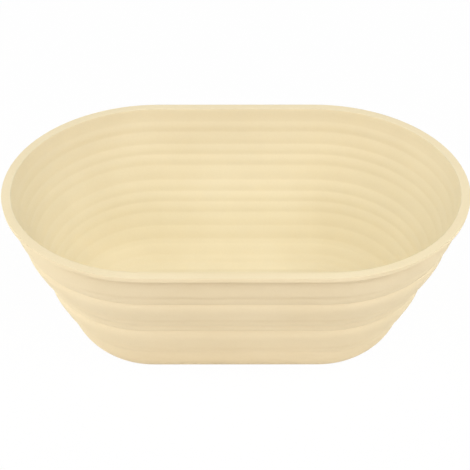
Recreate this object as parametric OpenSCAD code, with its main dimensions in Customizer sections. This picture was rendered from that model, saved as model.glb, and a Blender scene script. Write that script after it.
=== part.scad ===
// Oval folding proofing basket: thick wall rings joined by thin fold webs,
// ribbed inside, with a flat lip round the mouth. X runs along the length, Z is up.

/* [Overall] */
// Length over the lip
overall_length = 250; // [220:1:300]
// Width over the lip
overall_width = 160; // [150:1:190]
// Height from the foot to the top of the lip; the webs and the base wall share what the lip and the rings leave
overall_height = 94; // [84:1:104]

/* [Rim lip] */
// Thickness of the lip
lip_height = 3; // [2.4:0.2:5]
// How far the lip stands out beyond the upper ring
lip_overhang = 4.5; // [2.6:0.1:7]

/* [Wall rings] */
// Height of the upper ring
upper_ring_height = 13.6; // [12:0.2:17]
// Height of the middle ring
middle_ring_height = 15.6; // [11:0.2:18]
// Height of the lower ring
lower_ring_height = 16.6; // [11:0.2:20]
// How far the upper ring narrows towards its bottom
upper_ring_draft = 0.9; // [0.2:0.1:1.2]
// How far the middle ring narrows towards its bottom
middle_ring_draft = 4.1; // [1:0.1:5]
// How far the lower ring narrows towards its bottom
lower_ring_draft = 5; // [1:0.2:6]
// Wall of every ring, measured level at the grooves between its ribs
ring_wall = 2; // [1.7:0.1:2.6]
// How far the outside of a ring swells
ring_swell = 0.5; // [0.2:0.1:0.9]
// Rounding of a ring's outer edges
edge_round = 1; // [0.4:0.1:1.2]

/* [Fold webs] */
// Height of the upper web
upper_web_height = 7; // [5:0.1:9]
// Height of the middle web
middle_web_height = 12.6; // [10:0.2:16]
// Height of the lower web
lower_web_height = 10.4; // [8:0.2:13]
// How far the wall steps in across the upper web
upper_web_step = 4.1; // [3.8:0.1:6]
// How far the wall steps in across the middle web
middle_web_step = 6.8; // [5:0.2:9]
// How far the wall steps in across the lower web
lower_web_step = 5.1; // [4.2:0.1:7]
// Wall of every web, measured level from its inside grooves to its outside grooves
web_wall = 0.9; // [0.6:0.1:1.2]
// How far a web swells outwards between its outside grooves
web_swell = 0.4; // [0.2:0.1:0.7]

/* [Inside ribs] */
// How far the ribs stand out of the grooves
rib_depth = 0.5; // [0.3:0.1:0.8]
// Height of the smooth band under the lip
plain_band = 4.2; // [3:0.2:6]
// Ribs on the middle and lower rings
ring_ribs = 2; // [1:1:3]
// Ribs on the upper web
upper_web_ribs = 1; // [1:1:2]
// Ribs on the middle and lower webs
web_ribs = 2; // [1:1:3]

/* [Base] */
// Height of the base wall
base_height = 15.2; // [11:0.2:20]
// How far the foot's edge lies inside the top of the base wall
foot_inset = 9.3; // [7:0.1:12]
// Width of the foot that the basket stands on
foot_width = 6; // [4:0.5:9]
// How far the outside of the base wall swells
base_swell = 1.7; // [0.8:0.1:2.2]
// How far the inside of the base wall is hollowed
base_hollow = 2.4; // [1:0.2:2.8]
// Share of the base wall's inside above its first groove
base_plain = 0.4; // [0.3:0.05:0.5]
// Whole ribs on the inside of the base wall
base_ribs = 2; // [1:1:3]
// Thickness of the floor at the grooves between its ribs
floor_wall = 3; // [2:0.2:5]
// How far the underside of the floor lies above the foot
floor_recess = 0.8; // [0.4:0.2:1.6]
// Whole ribs between the middle of the floor and its edge
floor_ribs = 4; // [3:1:5]

/* [Hidden] */
cream = [0.92, 0.85, 0.68];
$fn = 96;
// Straight pieces that each arc of a section is drawn with
arc_steps = 6;
// Sagitta of a quarter circle, as a share of its radius
quarter_sagitta = 1 - cos(45);

// Sagitta of the half rib that runs from a crest to a groove
half_rib = rib_depth / 4;

lip_radius = overall_width / 2;
half_straight = (overall_length - overall_width) / 2;
lip_z = overall_height - lip_height;

// Fits the heights of the webs and the base wall to the overall height: 1 where they fill it as set
rings_height = upper_ring_height + middle_ring_height + lower_ring_height;
soft_height = upper_web_height + middle_web_height + lower_web_height + base_height;
soft_fit = (lip_z - rings_height) / soft_height;

// Corners of the inside wall as [distance from the spine line, height], on the line of its grooves
upper_top = [lip_radius - lip_overhang - ring_wall, lip_z];
upper_low = upper_top - [upper_ring_draft, upper_ring_height];
middle_top = upper_low - [upper_web_step, upper_web_height * soft_fit];
middle_low = middle_top - [middle_ring_draft, middle_ring_height];
lower_top = middle_low - [middle_web_step, middle_web_height * soft_fit];
lower_low = lower_top - [lower_ring_draft, lower_ring_height];
base_top = lower_low - [lower_web_step, lower_web_height * soft_fit];

// Corners of the base
foot_outer = [base_top[0] + ring_wall - foot_inset, 0];
foot_inner = foot_outer - [foot_width, 0];
floor_edge = foot_inner + [0, floor_recess + floor_wall];
floor_pitch = floor_edge[0] / (floor_ribs + 0.5);

// Points of an arc from p towards q without q itself; it bulges to the right of the way it runs
function arc(p, q, sagitta) =
    let (chord = norm(q - p),
         along = (q - p) / chord,
         out = [along[1], -along[0]],
         turn = 2 * atan(2 * sagitta / chord),
         radius = chord / (2 * sin(turn)))
    [for (i = [0 : arc_steps - 1])
        let (a = turn * (2 * i / arc_steps - 1))
        p + along * (chord / 2 + radius * sin(a)) + out * radius * (cos(a) - cos(turn))];

// Evenly spaced points from p to q
function spaced(p, q, count) = [for (k = [0 : count]) p + (q - p) * k / count];

// Bulging ribs between neighbouring points, without the last point
function ribs(grooves, depth) =
    [for (k = [1 : 1 : len(grooves) - 1]) each arc(grooves[k - 1], grooves[k], depth)];

// The top of a rib that stands on the groove line
function crest(p) = p - [rib_depth, 0];

// Inside wall from a crest at p, over evenly spaced grooves, to a crest at q
function ribbed_inside(p, q, count) =
    let (first = p + (q - p) / (2 * count),
         last = q - (q - p) / (2 * count),
         grooves = count > 1 ? spaced(first, last, count - 1) : [first])
    concat(arc(crest(p), first, half_rib), ribs(grooves, rib_depth),
           arc(last, crest(q), half_rib), [crest(q)]);

// A groove on the hollow of the base wall, at a share of the way from its top to the floor
function hollow_groove(share) =
    let (run = floor_edge - base_top,
         into_wall = [-run[1], run[0]] / norm(run))
    base_top + run * share + into_wall * base_hollow * 4 * share * (1 - share);

// The rounded lower edge, the swelling side and the rounded shoulder of a ring's outside
function lower_edge(corner) =
    arc(corner - [edge_round, 0], corner + [0, edge_round], quarter_sagitta * edge_round);
function side(low, top) = arc(low + [0, edge_round], top, ring_swell);
function shoulder(corner) =
    concat(arc(corner - [0, edge_round], corner - [edge_round, 0], quarter_sagitta * edge_round),
           [corner - [edge_round, 0]]);

// Carries a section once round the oval: two round ends and two straight sides
module sweep_round_oval()
    for (turn = [0, 180])
        rotate([0, 0, turn])
            translate([half_straight, 0, 0])
                rotate([0, 0, -90]) {
                    rotate_extrude(angle = 180) children();
                    rotate([90, 0, 0]) linear_extrude(height = 2 * half_straight) children();
                }

// A ring with ribs all the way down its inside
module ribbed_ring(top, low) {
    outer_top = top + [ring_wall, 0];
    outer_low = low + [ring_wall, 0];
    sweep_round_oval()
        polygon(concat(ribbed_inside(top, low, ring_ribs), lower_edge(outer_low),
                       side(outer_low, outer_top - [0, edge_round]), shoulder(outer_top)));
}

// A thin band whose outside swells between grooves that lie behind the crests of its inside
module fold_web(top, low, count) {
    outward = [web_wall, 0];
    sweep_round_oval()
        polygon(concat(ribbed_inside(top, low, count),
                       ribs(spaced(low + outward, top + outward, count), web_swell),
                       [top + outward]));
}

module rim_lip() color(cream) {
    edge = lip_height / 2;
    outer_low = [lip_radius - edge, lip_z];
    outer_mid = [lip_radius, lip_z + edge];
    outer_top = [lip_radius - edge, overall_height];
    inner_top = [upper_top[0], overall_height];
    sweep_round_oval()
        polygon(concat([upper_top],
                       arc(outer_low, outer_mid, quarter_sagitta * edge),
                       arc(outer_mid, outer_top, quarter_sagitta * edge), [outer_top],
                       arc(inner_top + [edge_round, 0], inner_top - [0, edge_round],
                           quarter_sagitta * edge_round),
                       [inner_top - [0, edge_round]]));
}

module upper_ring() color(cream) {
    first = upper_top + (upper_low - upper_top) * plain_band / upper_ring_height;
    whole_rib = 2 / 3;
    last = first + (upper_low - first) * whole_rib;
    outer_low = upper_low + [ring_wall, 0];
    outer_top = upper_top + [ring_wall, 0];
    sweep_round_oval()
        polygon(concat([upper_top], ribs([first, last], rib_depth),
                       arc(last, crest(upper_low), half_rib), [crest(upper_low)],
                       lower_edge(outer_low), side(outer_low, outer_top), [outer_top]));
}

module upper_web() color(cream) fold_web(upper_low, middle_top, upper_web_ribs);
module middle_ring() color(cream) ribbed_ring(middle_top, middle_low);
module middle_web() color(cream) fold_web(middle_low, lower_top, web_ribs);
module lower_ring() color(cream) ribbed_ring(lower_top, lower_low);
module lower_web() color(cream) fold_web(lower_low, base_top, web_ribs);

module base_wall() color(cream) {
    outer_top = base_top + [ring_wall, 0];
    grooves = [for (k = [0 : base_ribs]) hollow_groove(base_plain + (1 - base_plain) * k / base_ribs)];
    sweep_round_oval()
        polygon(concat(arc(crest(base_top), grooves[0], half_rib), ribs(grooves, rib_depth),
                       [floor_edge, foot_inner],
                       arc(foot_outer, outer_top - [0, edge_round], base_swell), shoulder(outer_top)));
}

module floor_panel() color(cream) {
    underside = [floor_edge[0], floor_recess];
    last_groove = [floor_pitch / 2, floor_edge[1]];
    middle_crest = [0, floor_edge[1] + rib_depth];
    sweep_round_oval()
        polygon(concat([[0, floor_recess], underside],
                       ribs(spaced(floor_edge, last_groove, floor_ribs), rib_depth),
                       arc(last_groove, middle_crest, half_rib), [middle_crest]));
}

rim_lip();
upper_ring();
upper_web();
middle_ring();
middle_web();
lower_ring();
lower_web();
base_wall();
floor_panel();
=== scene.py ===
from math import cos, pi, radians, sin, sqrt

import bpy
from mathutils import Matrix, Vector


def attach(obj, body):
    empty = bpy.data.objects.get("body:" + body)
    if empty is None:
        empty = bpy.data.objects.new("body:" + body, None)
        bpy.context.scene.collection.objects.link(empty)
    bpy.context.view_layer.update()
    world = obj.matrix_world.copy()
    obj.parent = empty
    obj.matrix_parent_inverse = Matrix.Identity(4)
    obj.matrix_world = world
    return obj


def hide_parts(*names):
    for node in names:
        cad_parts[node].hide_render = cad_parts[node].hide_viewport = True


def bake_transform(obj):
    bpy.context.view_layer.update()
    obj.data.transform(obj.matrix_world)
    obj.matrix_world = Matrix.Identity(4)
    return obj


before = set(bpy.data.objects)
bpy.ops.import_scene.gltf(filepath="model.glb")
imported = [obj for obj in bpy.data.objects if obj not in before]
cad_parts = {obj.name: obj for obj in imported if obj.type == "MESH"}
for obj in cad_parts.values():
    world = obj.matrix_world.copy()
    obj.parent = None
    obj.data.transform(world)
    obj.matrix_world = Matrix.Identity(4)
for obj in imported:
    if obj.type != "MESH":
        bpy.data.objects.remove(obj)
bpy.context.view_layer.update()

scene = bpy.context.scene
scene.view_settings.view_transform = 'Standard'

# The plan of the basket and the make-up of its wall, in metres.
# A point of the wall is (distance out from the spine line, height).
basket = {
    "halfStraight": 0.045,
    "ribDepth": 0.00025,
    "grooveSoftness": 0.16,
    "beadSoftness": 0.06,
    "foldBend": 0.6,  # how softly a face comes out of a fold, as a share of its length
    "edgeStep": 0.004,  # very short step at both ends of a face, for true edge normals
    "pointsPerFace": 44,
    "pointsPerSide": 24,
    "pointsPerCorner": 7,
    "roundEndSteps": 44,
    "straightSteps": 9,
    "startSize": 0.001,
    "mergeWithin": 0.000004,
    "smoothBelow": 42,  # degrees
}

# Where the moulding folds, on the line of the grooves inside
foldLines = {
    "underLip": Vector((0.0738, 0.0910)),
    "upperLow": Vector((0.07085, 0.0774)),
    "middleTop": Vector((0.0687, 0.0704)),
    "middleLow": Vector((0.06305, 0.0548)),
    "lowerTop": Vector((0.0579, 0.0422)),
    "lowerLow": Vector((0.0518, 0.0256)),
    "baseTop": Vector((0.0475, 0.0152)),
    "floorEdge": Vector((0.0342, 0.0038)),
}

# Heights of the grooves inside, with one rib between neighbours
ribGrooves = [0.0867, 0.0804, 0.0731, 0.0671, 0.0609, 0.0526,
              0.0462, 0.0402, 0.0340, 0.0261, 0.0183, 0.0094]

# Directions in the section of the wall
inTo, outTo = Vector((-1, 0)), Vector((1, 0))
up, down = Vector((0, 1)), Vector((0, -1))


# Phase of the ribs at a height: a half in every groove, a whole number on every crest
def ribPhase(height):
    phase = 0.5
    for top, low in zip(ribGrooves, ribGrooves[1:]):
        if height > top:
            break
        phase += min(1, (top - height) / (top - low))
    return phase


# A direction halfway between the wall above a fold and the wall below it
def turnAt(name):
    names = list(foldLines)
    i = names.index(name)
    here = foldLines[name]
    above = here - foldLines[names[i - 1]] if i else down
    below = foldLines[names[i + 1]] - here
    return (above.normalized() + below.normalized()).normalized()


# Height of a rounded rib at a phase: 1 on every whole number, 0 in the groove halfway
def scallop(phase, softness):
    full = sqrt(1 + softness ** 2) - softness
    return (sqrt(cos(pi * phase) ** 2 + softness ** 2) - softness) / full


# Even shares of the way along a face, with the short steps at both ends
def sharesAlong(count):
    shares = [i / count for i in range(count + 1)]
    return [0, basket["edgeStep"]] + shares[1:-1] + [1 - basket["edgeStep"], 1]


# A soft line from p to q that leaves along pull and arrives along push:
# share of the way, point and direction
def softLine(p, q, pull, push, count):
    for t in sharesAlong(count):
        point = (p * (2 * t ** 3 - 3 * t ** 2 + 1) + pull * (t ** 3 - 2 * t ** 2 + t)
                 + q * (3 * t ** 2 - 2 * t ** 3) + push * (t ** 3 - t ** 2))
        run = (p * (6 * t ** 2 - 6 * t) + pull * (3 * t ** 2 - 4 * t + 1)
               + q * (6 * t - 6 * t ** 2) + push * (3 * t ** 2 - 2 * t))
        yield t, point, run.normalized()


# The ribbed inside of the wall from one fold down to the next, bending softly at both
def ribbedFace(start, end, startPull=None, endPull=None, phaseAt=None):
    p, q = foldLines[start], foldLines[end]
    bend = (q - p).length * basket["foldBend"]
    pull = startPull or turnAt(start) * bend
    push = endPull or turnAt(end) * bend
    points = []
    for t, line, run in softLine(p, q, pull, push, basket["pointsPerFace"]):
        phase = phaseAt(t) if phaseAt else ribPhase(line.y)
        rise = basket["ribDepth"] * scallop(phase, basket["grooveSoftness"])
        points.append(line + Vector((run.y, -run.x)) * rise)
    return points


# The bulging outside of a ring or of the cup; a slope is how far it leans out for its rise
def bulgingSide(low, top, lowSlope, topSlope):
    rise = top.y - low.y
    pull, push = Vector((lowSlope, 1)) * rise, Vector((topSlope, 1)) * rise
    return [point for t, point, run in softLine(low, top, pull, push, basket["pointsPerSide"])]


# A quarter round over a corner, coming in along one direction and leaving along another
def roundCorner(corner, comeFrom, goTo, radius):
    middle = corner + (comeFrom + goTo) * radius
    count = basket["pointsPerCorner"]
    points = []
    for i in range(count + 1):
        a = pi / 2 * i / count
        points.append(middle - goTo * radius * cos(a) - comeFrom * radius * sin(a))
    return points


# Draws a section point by point at the start of one round end, and carries it once round the oval
def sweepSection(name, section, closed=True):
    s = basket["halfStraight"]
    if closed:
        section = section + [section[0]]
    first = section[0]
    bpy.ops.object.select_all(action='DESELECT')
    bpy.ops.mesh.primitive_plane_add(size=basket["startSize"], location=(s, -first.x, first.y))
    piece = bpy.context.active_object
    piece.name = name
    bpy.ops.object.transform_apply(location=True, rotation=False, scale=False)
    bpy.ops.object.mode_set(mode='EDIT')
    bpy.ops.mesh.select_mode(type='VERT')
    bpy.ops.mesh.merge(type='CENTER')  # the plane becomes the first point
    for here, there in zip(section, section[1:]):
        step = there - here
        bpy.ops.mesh.extrude_region_move(TRANSFORM_OT_translate={"value": (0, -step.x, step.y)})
    bpy.ops.mesh.select_all(action='SELECT')
    bpy.ops.mesh.remove_doubles(threshold=basket["mergeWithin"])
    bpy.ops.mesh.select_all(action='SELECT')
    straightStep = 2 * s / basket["straightSteps"]
    for end in (1, -1):  # right end and back side, then left end and front side
        bpy.ops.mesh.spin(steps=basket["roundEndSteps"], angle=-pi,
                          center=(end * s, 0, 0), axis=(0, 0, 1))
        for i in range(basket["straightSteps"]):
            bpy.ops.mesh.extrude_region_move(
                TRANSFORM_OT_translate={"value": (-end * straightStep, 0, 0)})
    bpy.ops.mesh.select_all(action='SELECT')
    bpy.ops.mesh.remove_doubles(threshold=basket["mergeWithin"])
    bpy.ops.mesh.normals_make_consistent(inside=False)
    bpy.ops.object.mode_set(mode='OBJECT')
    bpy.ops.object.shade_smooth_by_angle(angle=radians(basket["smoothBelow"]))
    return piece


# Cream silicone: matte, with faint cloudy mottling, a fine moulded grain and uneven sheen
creamFinish = {
    "ior": 1.41,
    "specular": 0.35,
    "cloudScale": 26,
    "cloudDetail": 3,
    "deepCream": (0.824, 0.713, 0.477, 1),
    "deepBelow": 0.3,
    "paleCream": (0.854, 0.747, 0.512, 1),
    "paleAbove": 0.7,
    "speckScale": 900,
    "speckDetail": 4,
    "speckTint": (0.965, 0.955, 0.93, 1),
    # painted tint that makes the inside a shade bluer, against the warm light bounced inside the
    # basket
    "paintedCoolInside": (0.977, 1.003, 1.042, 1),
    "roughness": (0.70, 0.82),
    "grainStrength": 0.12,
    "grainDepth": 0.0002,
}


def makeCreamSilicone():
    material = bpy.data.materials.new("creamSilicone")
    material.use_nodes = True
    nodes, links = material.node_tree.nodes, material.node_tree.links
    shader = nodes["Principled BSDF"]
    shader.inputs["IOR"].default_value = creamFinish["ior"]
    shader.inputs["Specular IOR Level"].default_value = creamFinish["specular"]
    place = nodes.new("ShaderNodeTexCoord")

    cloud = nodes.new("ShaderNodeTexNoise")
    cloud.inputs["Scale"].default_value = creamFinish["cloudScale"]
    cloud.inputs["Detail"].default_value = creamFinish["cloudDetail"]
    links.new(place.outputs["Object"], cloud.inputs["Vector"])
    creams = nodes.new("ShaderNodeValToRGB")
    deep, pale = creams.color_ramp.elements
    deep.position, deep.color = creamFinish["deepBelow"], creamFinish["deepCream"]
    pale.position, pale.color = creamFinish["paleAbove"], creamFinish["paleCream"]
    links.new(cloud.outputs["Fac"], creams.inputs["Fac"])

    speck = nodes.new("ShaderNodeTexNoise")
    speck.inputs["Scale"].default_value = creamFinish["speckScale"]
    speck.inputs["Detail"].default_value = creamFinish["speckDetail"]
    links.new(place.outputs["Object"], speck.inputs["Vector"])
    grainTint = nodes.new("ShaderNodeMix")
    grainTint.data_type = 'RGBA'
    grainTint.blend_type = 'MULTIPLY'
    grainTint.inputs["B"].default_value = creamFinish["speckTint"]
    links.new(speck.outputs["Fac"], grainTint.inputs["Factor"])
    links.new(creams.outputs["Color"], grainTint.inputs["A"])

    # painted light: light thrown to and fro inside the basket warms the cream, so the inside is
    # painted a shade bluer to offset it
    inside = nodes.new("ShaderNodeAttribute")
    inside.attribute_name = "paintedCoolMask"
    paintedCooling = nodes.new("ShaderNodeMix")
    paintedCooling.data_type = 'RGBA'
    paintedCooling.blend_type = 'MULTIPLY'
    paintedCooling.inputs["B"].default_value = creamFinish["paintedCoolInside"]
    links.new(inside.outputs["Fac"], paintedCooling.inputs["Factor"])
    links.new(grainTint.outputs["Result"], paintedCooling.inputs["A"])
    links.new(paintedCooling.outputs["Result"], shader.inputs["Base Color"])

    sheen = nodes.new("ShaderNodeMapRange")
    smoothest, roughest = creamFinish["roughness"]
    sheen.inputs["To Min"].default_value = smoothest
    sheen.inputs["To Max"].default_value = roughest
    links.new(cloud.outputs["Fac"], sheen.inputs["Value"])
    links.new(sheen.outputs["Result"], shader.inputs["Roughness"])

    grain = nodes.new("ShaderNodeBump")
    grain.inputs["Strength"].default_value = creamFinish["grainStrength"]
    grain.inputs["Distance"].default_value = creamFinish["grainDepth"]
    links.new(speck.outputs["Fac"], grain.inputs["Height"])
    links.new(grain.outputs["Normal"], shader.inputs["Normal"])
    return material


silicone = makeCreamSilicone()

# How far a normal leans towards the spine line on the wall, or up in the cup, to count as inside
insideFrom = {"towardsSpine": 0.2, "upInCup": 0.3}


# Marks the vertices on the inside of the wall, in the cove and on the floor, for the painted bluer
# tint that offsets the warm bounced light
def markPaintedCool(piece):
    s = basket["halfStraight"]
    marks = piece.data.attributes.new("paintedCoolMask", 'FLOAT', 'POINT')
    for vertex, mark in zip(piece.data.vertices, marks.data):
        x, y, z = vertex.co
        across = Vector((x - max(-s, min(s, x)), y, 0))
        facesIn = vertex.normal.dot(across) < -insideFrom["towardsSpine"] * across.length
        inCup = z < foldLines["baseTop"].y and vertex.normal.z > insideFrom["upInCup"]
        mark.value = 1 if facesIn or inCup else 0


def dress(piece, node):
    piece.data.materials.clear()
    piece.data.materials.append(silicone)
    markPaintedCool(piece)
    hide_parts(node)
    print(piece.name, len(piece.data.polygons), "faces")


# Rings: thick bands that bulge outside, most at the shoulder, given by their outer corners
upperRing = {
    "outerTop": Vector((0.0765, 0.0910)),
    "outerLow": Vector((0.0739, 0.0769)),
    "edgeRound": 0.0006,
    "lowSlope": 0.28,
    "topSlope": 0.08,
}
middleRing = {
    "outerTop": Vector((0.0700, 0.0691)),
    "outerLow": Vector((0.0660, 0.0546)),
    "edgeRound": 0.0006,
    "lowSlope": 0.44,
    "topSlope": -0.20,
}
lowerRing = {
    "outerTop": Vector((0.0589, 0.0412)),
    "outerLow": Vector((0.0540, 0.0244)),
    "edgeRound": 0.0006,
    "lowSlope": 0.41,
    "topSlope": -0.15,
}


def makeRing(name, start, end, ring, node, body):
    inside = ribbedFace(start, end)
    outside = roundCorner(ring["outerLow"], inTo, up, ring["edgeRound"])
    side = bulgingSide(outside[-1], ring["outerTop"], ring["lowSlope"], ring["topSlope"])
    piece = sweepSection(name, inside + outside + side[1:])
    dress(piece, node)
    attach(piece, body)


# Lip round the mouth: flat on top, with an edge that draws in below and an underside that sinks
# towards it
mouthLip = {
    "outerRadius": 0.0795,
    "thickness": 0.003,
    "seatPoint": 0.0012,  # a point on the seat over the upper ring
    "edgeDrawIn": 0.0002,
    "underDrop": 0.0003,
    "topRound": 0.00005,
    "lowRound": 0.0011,
    "innerFlare": 0.0008,
    "innerRound": 0.0005,
    "innerStep": 0.00005,  # very short last step, for a true normal at the seam
}


def makeMouthLip():
    foot = foldLines["underLip"]
    top = foot.y + mouthLip["thickness"]
    outerLow = Vector((mouthLip["outerRadius"] - mouthLip["edgeDrawIn"],
                       foot.y - mouthLip["underDrop"]))
    outerTop = Vector((mouthLip["outerRadius"], top))
    innerTop = Vector((foot.x + mouthLip["innerFlare"], top))
    section = [foot.copy(), foot + outTo * mouthLip["seatPoint"], upperRing["outerTop"].copy()]
    section += roundCorner(outerLow, inTo, up, mouthLip["lowRound"])
    section += roundCorner(outerTop, down, inTo, mouthLip["topRound"])
    section += roundCorner(innerTop, outTo, down, mouthLip["innerRound"])
    section.append(foot + up * mouthLip["innerStep"])
    lip = sweepSection("mouthLip", section)
    dress(lip, "rim_lip")
    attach(lip, "upper_tier")


# Webs: thin bands that roll over when the basket is pressed flat, beaded outside;
# the lowest bead is cut short where it runs into the shoulder below
upperWeb = {"beads": 0.7, "swell": 0.0010, "topLedge": 0.0011}
middleWeb = {"beads": 1.65, "swell": 0.0008, "topLedge": 0.0013}
lowerWeb = {"beads": 1.6, "swell": 0.0004, "topLedge": 0.0011}


def makeFoldWeb(name, start, end, web, ringAbove, ringBelow, node):
    inside = ribbedFace(start, end)
    top = ringAbove["outerLow"] + inTo * web["topLedge"]
    low = ringBelow["outerTop"]
    along = (top - low).normalized()
    out = Vector((along.y, -along.x))

    # starts in a groove under the ledge
    def bead(t):
        return web["swell"] * scallop(web["beads"] * (1 - t) + 0.5, basket["beadSoftness"])

    outside = []
    for t in sharesAlong(basket["pointsPerFace"]):
        outside.append(low.lerp(top, t) + out * (bead(t) - bead(0) * (1 - t)))
    piece = sweepSection(name, inside + outside)
    dress(piece, node)
    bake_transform(piece)


# Base cup with its foot; the ribs of the wall go on as far as coveShare, then those of the cove
baseCup = {
    "outerTop": Vector((0.0489, 0.0138)),
    "hollow": 0.0024,
    "coveShare": 0.32,
    "ribs": 2.5,
    "footOuter": Vector((0.0411, 0)),
    "footInner": Vector((0.0342, 0)),
    "footRound": 0.0006,
    "lowSlope": 0.95,
    "topSlope": 0.30,
}


def makeBaseCup():
    top, edge = foldLines["baseTop"], foldLines["floorEdge"]
    run = edge - top
    endSlope = 4 * baseCup["hollow"]  # of a parabola that is this deep in the middle
    intoWall = Vector((-run.y, run.x)).normalized() * endSlope
    cove, ribs = baseCup["coveShare"], baseCup["ribs"]
    firstPhase, covePhase = ribPhase(top.y), ribPhase(0)

    def phaseAt(t):
        if t < cove:
            return firstPhase + (covePhase - firstPhase) * t / cove
        return covePhase + ribs * (t - cove) / (1 - cove)

    inside = ribbedFace("baseTop", "floorEdge", turnAt("baseTop") * (run + intoWall).length,
                        inTo * (run - intoWall).length, phaseAt)
    foot = baseCup["footOuter"]
    side = bulgingSide(foot, baseCup["outerTop"], baseCup["lowSlope"], baseCup["topSlope"])
    # the foot's edge is cut off at a slant, without the first two points of the side
    outside = [baseCup["footInner"].copy(), foot + inTo * baseCup["footRound"]] + side[2:]
    cup = sweepSection("baseCup", inside + outside)
    dress(cup, "base_wall")
    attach(cup, "base")


# Ribbed floor inside the foot
ribbedFloor = {"ribs": 5, "pointsPerRib": 16, "underside": 0.0008}


def makeRibbedFloor():
    edge = foldLines["floorEdge"]
    ribs = ribbedFloor["ribs"]
    count = ribs * ribbedFloor["pointsPerRib"]
    section = []
    for i in range(count + 1):
        t = i / count
        rise = basket["ribDepth"] * scallop(ribs * t, basket["grooveSoftness"])
        section.append(Vector((edge.x * t, edge.y + rise)))
    section.append(Vector((edge.x, ribbedFloor["underside"])))
    section.append(Vector((0, ribbedFloor["underside"])))
    panel = sweepSection("ribbedFloor", section, closed=False)
    dress(panel, "floor_panel")
    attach(panel, "base")


makeMouthLip()
makeRing("upperRingWall", "underLip", "upperLow", upperRing, "upper_ring", "upper_tier")
makeFoldWeb("upperFoldWeb", "upperLow", "middleTop", upperWeb, upperRing, middleRing,
            "upper_web")
makeRing("middleRingWall", "middleTop", "middleLow", middleRing, "middle_ring", "middle_tier")
makeFoldWeb("middleFoldWeb", "middleLow", "lowerTop", middleWeb, middleRing, lowerRing,
            "middle_web")
makeRing("lowerRingWall", "lowerTop", "lowerLow", lowerRing, "lower_ring", "lower_tier")
makeFoldWeb("lowerFoldWeb", "lowerLow", "baseTop", lowerWeb, lowerRing, baseCup,
            "lower_web")
makeBaseCup()
makeRibbedFloor()
print("basket built")

# Studio: white floor, faint room light, softboxes above in front and on both sides,
# and low cards at the sides, behind and in front
studio = {
    "worldStrength": 0.08,
    "floorSize": 8,
    "floorColour": (0.86, 0.86, 0.86, 1),
    "floorGlow": 0.97,  # share of plain white in the floor as it is seen; the rest holds the shadow
    "aim": (0, 0, 0.05),
}
plainWhite, warmWhite = (1, 1, 1), (1, 0.52, 0.38)
softboxes = {
    "highSoftbox": {"place": (0, -1.0, 1.5), "size": 1.2, "power": 11.5, "tint": plainWhite},
    "leftSoftbox": {"place": (-1.1, -0.6, 1.0), "size": 1.0, "power": 9.2, "tint": plainWhite},
    "rightSoftbox": {"place": (1.1, -0.6, 1.0), "size": 1.0, "power": 8.9, "tint": plainWhite},
    "highRightSoftbox": {"place": (0.85, -0.35, 1.3), "size": 1.0, "power": 3.5,
                         "tint": plainWhite},
    "leftCard": {"place": (-1.5, 0, 0.4), "size": 0.9, "power": 4.8, "tint": plainWhite},
    "leftBackCard": {"place": (-1.4, 0.5, 0.45), "size": 0.9, "power": 3.1, "tint": plainWhite},
    "rightBackCard": {"place": (1.4, 0.5, 0.45), "size": 0.9, "power": 3.65, "tint": plainWhite},
    "backCard": {"place": (0, 1.5, 0.4), "size": 0.9, "power": 6.0, "tint": plainWhite},
    "warmCard": {"place": (0, -1.5, 0.35), "size": 0.9, "power": 2.0, "tint": warmWhite},
}


# 1 for rays from the camera, or seen in gloss or through glass
def seenDirectly(nodes, links):
    path = nodes.new("ShaderNodeLightPath")
    direct = nodes.new("ShaderNodeMath")
    direct.operation = 'MAXIMUM'
    links.new(path.outputs["Is Camera Ray"], direct.inputs[0])
    links.new(path.outputs["Is Glossy Ray"], direct.inputs[1])
    seen = nodes.new("ShaderNodeMath")
    seen.operation = 'MAXIMUM'
    links.new(direct.outputs["Value"], seen.inputs[0])
    links.new(path.outputs["Is Transmission Ray"], seen.inputs[1])
    return seen


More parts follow.
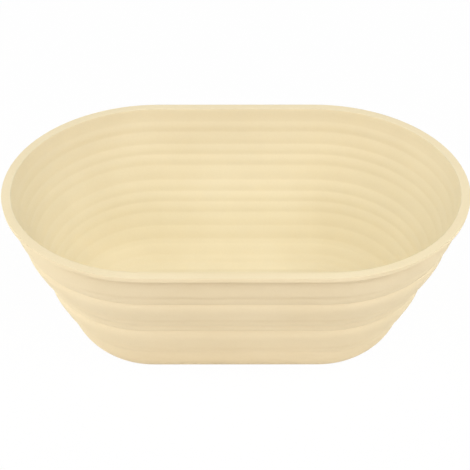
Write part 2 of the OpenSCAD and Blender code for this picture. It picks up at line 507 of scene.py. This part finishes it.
def makeFloor():
    bpy.ops.object.select_all(action='DESELECT')
    bpy.ops.mesh.primitive_plane_add(size=studio["floorSize"], location=(0, 0, 0))
    ground = bpy.context.active_object
    ground.name = "whiteFloor"
    white = bpy.data.materials.new("whiteFloor")
    white.use_nodes = True
    nodes, links = white.node_tree.nodes, white.node_tree.links
    nodes.remove(nodes["Principled BSDF"])
    matte = nodes.new("ShaderNodeBsdfDiffuse")
    matte.inputs["Color"].default_value = studio["floorColour"]
    glow = nodes.new("ShaderNodeEmission")
    glow.inputs["Strength"].default_value = 1
    mix = nodes.new("ShaderNodeMixShader")
    seen = seenDirectly(nodes, links)
    share = nodes.new("ShaderNodeMath")
    share.operation = 'MULTIPLY'
    share.inputs[1].default_value = studio["floorGlow"]
    links.new(seen.outputs["Value"], share.inputs[0])
    links.new(share.outputs["Value"], mix.inputs["Fac"])
    links.new(matte.outputs["BSDF"], mix.inputs[1])
    links.new(glow.outputs["Emission"], mix.inputs[2])
    links.new(mix.outputs["Shader"], nodes["Material Output"].inputs["Surface"])
    ground.data.materials.append(white)


def makeWorld():
    world = bpy.data.worlds.new("studio")
    scene.world = world
    world.use_nodes = True
    nodes, links = world.node_tree.nodes, world.node_tree.links
    level = nodes.new("ShaderNodeMapRange")
    level.inputs["To Min"].default_value = studio["worldStrength"]
    level.inputs["To Max"].default_value = 1
    links.new(seenDirectly(nodes, links).outputs["Value"], level.inputs["Value"])
    nodes["Background"].inputs["Color"].default_value = (1, 1, 1, 1)
    links.new(level.outputs["Result"], nodes["Background"].inputs["Strength"])


def makeLamp(name, lamp):
    bpy.ops.object.select_all(action='DESELECT')
    bpy.ops.object.light_add(type='AREA', location=lamp["place"])
    box = bpy.context.active_object
    box.name = name
    box.data.shape = 'DISK'
    box.data.size = lamp["size"]
    box.data.energy = lamp["power"]
    box.data.color = lamp["tint"]
    toBasket = Vector(studio["aim"]) - Vector(lamp["place"])
    box.rotation_euler = toBasket.to_track_quat('-Z', 'Y').to_euler()


makeFloor()
makeWorld()
for name, lamp in softboxes.items():
    makeLamp(name, lamp)

# Camera where the photographer stood
photoCamera = {
    "location": (-0.00031, -0.52736, 0.46854),
    "turn": (52.1684, 0.0406, -0.0140),
    "lens": 92.7,
    "sensor": 36,
}
bpy.ops.object.camera_add(location=photoCamera["location"],
                          rotation=[radians(a) for a in photoCamera["turn"]])
scene.camera = bpy.context.active_object
scene.camera.data.lens = photoCamera["lens"]
scene.camera.data.sensor_width = photoCamera["sensor"]
print("camera and lamps placed")
